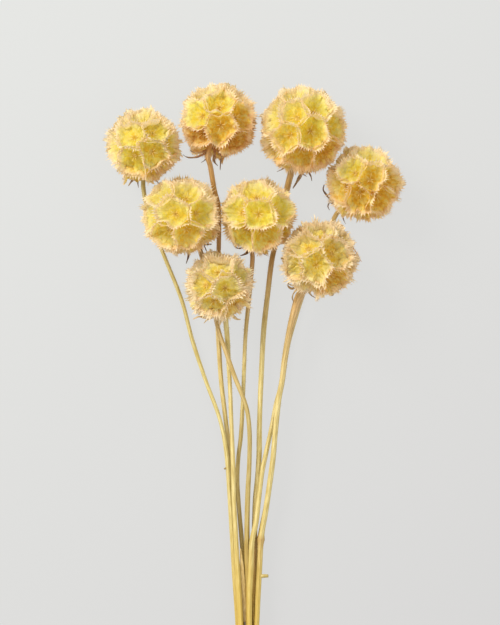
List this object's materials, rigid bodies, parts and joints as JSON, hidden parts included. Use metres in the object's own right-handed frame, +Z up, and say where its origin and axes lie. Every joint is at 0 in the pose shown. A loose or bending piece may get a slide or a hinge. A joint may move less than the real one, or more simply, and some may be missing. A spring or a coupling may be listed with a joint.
{
  "type": "bunch of dried scabiosa stems",
  "caption": "Bunch of dried scabiosa stems lying flat: globes of papery toothed cups on slender stalks, tied with twine near the cut ends.",
  "frame": {"origin": "on the surface that the bunch lies on, under the middle of its box", "axes": "+Z up from the surface, +Y along the bunch from the cut ends to the seed heads, +X across it"},
  "size_m": [0.1365, 0.3487, 0.0412],
  "materials": {
    "cups": "matte, thin papery seed cups, dyed yellow",
    "stalks": "satin, dried ridged stalk, straw yellow to brown",
    "twine": "matte, plain natural twine"
  },
  "bodies": {
    "root": {"head_1": "cups", "stalk_1": "stalks", "head_2": "cups", "stalk_2": "stalks", "head_3": "cups", "stalk_3": "stalks", "head_4": "cups", "stalk_4": "stalks", "head_5": "cups", "stalk_5": "stalks", "head_6": "cups", "stalk_6": "stalks", "head_7": "cups", "stalk_7": "stalks", "head_8": "cups", "stalk_8": "stalks", "tie": "twine"}
  },
  "joints": []
}
